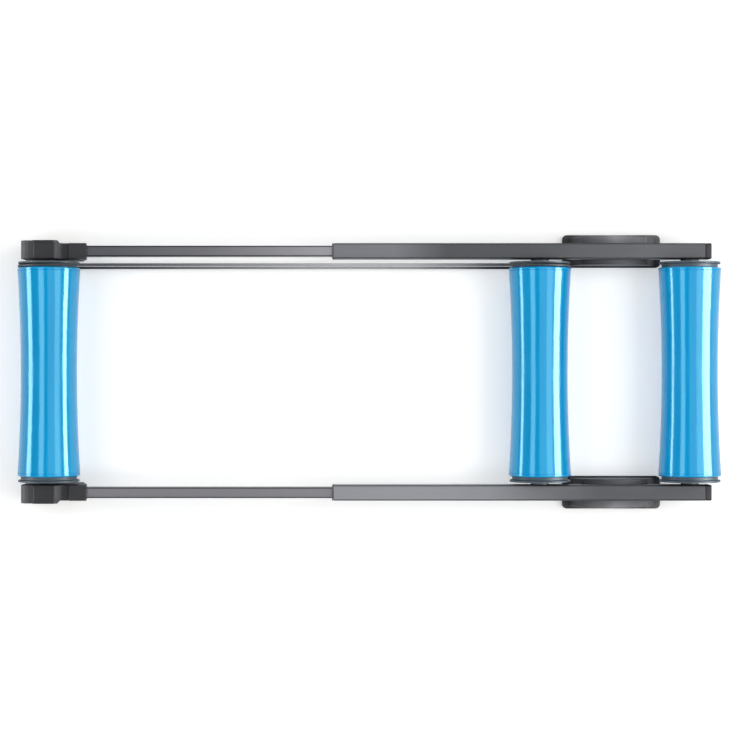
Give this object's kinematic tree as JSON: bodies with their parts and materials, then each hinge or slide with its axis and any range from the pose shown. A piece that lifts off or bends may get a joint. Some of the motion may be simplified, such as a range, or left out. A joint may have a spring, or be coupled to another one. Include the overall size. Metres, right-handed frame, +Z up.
{
  "type": "bike rollers",
  "caption": "Telescoping floor frame with waisted training drums on ball bearings, a belt linking the front drum to a rear one, plastic end brackets and arched rear feet.",
  "frame": {"origin": "centre of the footprint, on the floor that the pads stand on", "axes": "+X from the front roller to the rear pair, +Y to the belt side, +Z up"},
  "size_m": [1.352, 0.536, 0.145],
  "materials": {
    "blue_drum": "glossy moulded drum, bright blue",
    "grey_cap": "satin grey moulding",
    "belt_rubber": "smooth round elastic cord",
    "rail_paint": "satin grey powder coat",
    "inner_rail_metal": "satin light grey coat, sliding",
    "black_plastic": "satin black moulding",
    "guide_plastic": "grey low-friction moulding",
    "pad_rubber": "matt black floor pad",
    "bright_steel": "ground steel",
    "black_steel": "blackened steel screw"
  },
  "bodies": {
    "rear_frame": {"outer_rail_right": "rail_paint", "outer_rail_left": "rail_paint", "rail_end_plug_right": "black_plastic", "rail_end_plug_left": "black_plastic", "rail_mouth_bush_right": "guide_plastic", "rail_mouth_bush_left": "guide_plastic", "rear_foot_right": "black_plastic", "rear_foot_left": "black_plastic", "rear_pad_right": "pad_rubber", "rear_pad_left": "pad_rubber", "foot_bolt_right": "bright_steel", "foot_bolt_left": "bright_steel", "middle_axle": "bright_steel", "middle_bearing_inner_race_right": "bright_steel", "middle_bearing_inner_race_left": "bright_steel", "middle_axle_set_screw_right": "black_steel", "middle_axle_set_screw_left": "black_steel", "rear_axle": "bright_steel", "rear_bearing_inner_race_right": "bright_steel", "rear_bearing_inner_race_left": "bright_steel", "rear_axle_set_screw_right": "black_steel", "rear_axle_set_screw_left": "black_steel", "drive_belt": "belt_rubber"},
    "front_frame": {"inner_rail_right": "inner_rail_metal", "inner_rail_left": "inner_rail_metal", "inner_rail_slider_right": "guide_plastic", "inner_rail_slider_left": "guide_plastic", "front_bracket_right": "black_plastic", "front_bracket_left": "black_plastic", "front_pad_right": "pad_rubber", "front_pad_left": "pad_rubber", "front_axle": "bright_steel", "front_bearing_inner_race_right": "bright_steel", "front_bearing_inner_race_left": "bright_steel", "front_axle_set_screw_right": "black_steel", "front_axle_set_screw_left": "black_steel"},
    "front_roller": {"front_drum": "blue_drum", "front_end_cap_right": "grey_cap", "front_end_cap_left": "grey_cap", "front_bearing_outer_race_right": "bright_steel", "front_bearing_outer_race_left": "bright_steel", "front_bearing_balls_right": "bright_steel", "front_bearing_balls_left": "bright_steel"},
    "middle_roller": {"middle_drum": "blue_drum", "middle_end_cap_right": "grey_cap", "middle_end_cap_left": "grey_cap", "middle_bearing_outer_race_right": "bright_steel", "middle_bearing_outer_race_left": "bright_steel", "middle_bearing_balls_right": "bright_steel", "middle_bearing_balls_left": "bright_steel"},
    "rear_roller": {"rear_drum": "blue_drum", "rear_end_cap_right": "grey_cap", "rear_end_cap_left": "grey_cap", "rear_bearing_outer_race_right": "bright_steel", "rear_bearing_outer_race_left": "bright_steel", "rear_bearing_balls_right": "bright_steel", "rear_bearing_balls_left": "bright_steel"},
    "lock_knob_right": {"lock_knob_right": "black_plastic"},
    "lock_knob_left": {"lock_knob_left": "black_plastic"}
  },
  "joints": [
    {"name": "frame_slide", "type": "slide", "parent": "rear_frame", "child": "front_frame", "axis": [1, 0, 0], "range_m": [0, 0.468], "deforming": ["drive_belt"]},
    {"name": "middle_roller_spin", "type": "hinge", "parent": "rear_frame", "child": "middle_roller", "pos_m": [0.328, 0, 0.085], "axis": [0, 1, 0], "continuous": true},
    {"name": "rear_roller_spin", "type": "hinge", "parent": "rear_frame", "child": "rear_roller", "pos_m": [0.616, 0, 0.085], "axis": [0, 1, 0], "continuous": true},
    {"name": "front_roller_spin", "type": "hinge", "parent": "front_frame", "child": "front_roller", "pos_m": [-0.616, 0, 0.085], "axis": [0, 1, 0], "continuous": true},
    {"name": "lock_knob_turn_right", "type": "hinge", "parent": "rear_frame", "child": "lock_knob_right", "pos_m": [-0.05, 0.2315, 0.05], "axis": [0, 0, -1], "range_deg": [0, 270]},
    {"name": "lock_knob_turn_left", "type": "hinge", "parent": "rear_frame", "child": "lock_knob_left", "pos_m": [-0.05, -0.2315, 0.05], "axis": [0, 0, -1], "range_deg": [0, 270]}
  ],
  "couplings": [
    {"joint": "front_roller_spin", "follows": "middle_roller_spin", "ratio": 1}
  ]
}
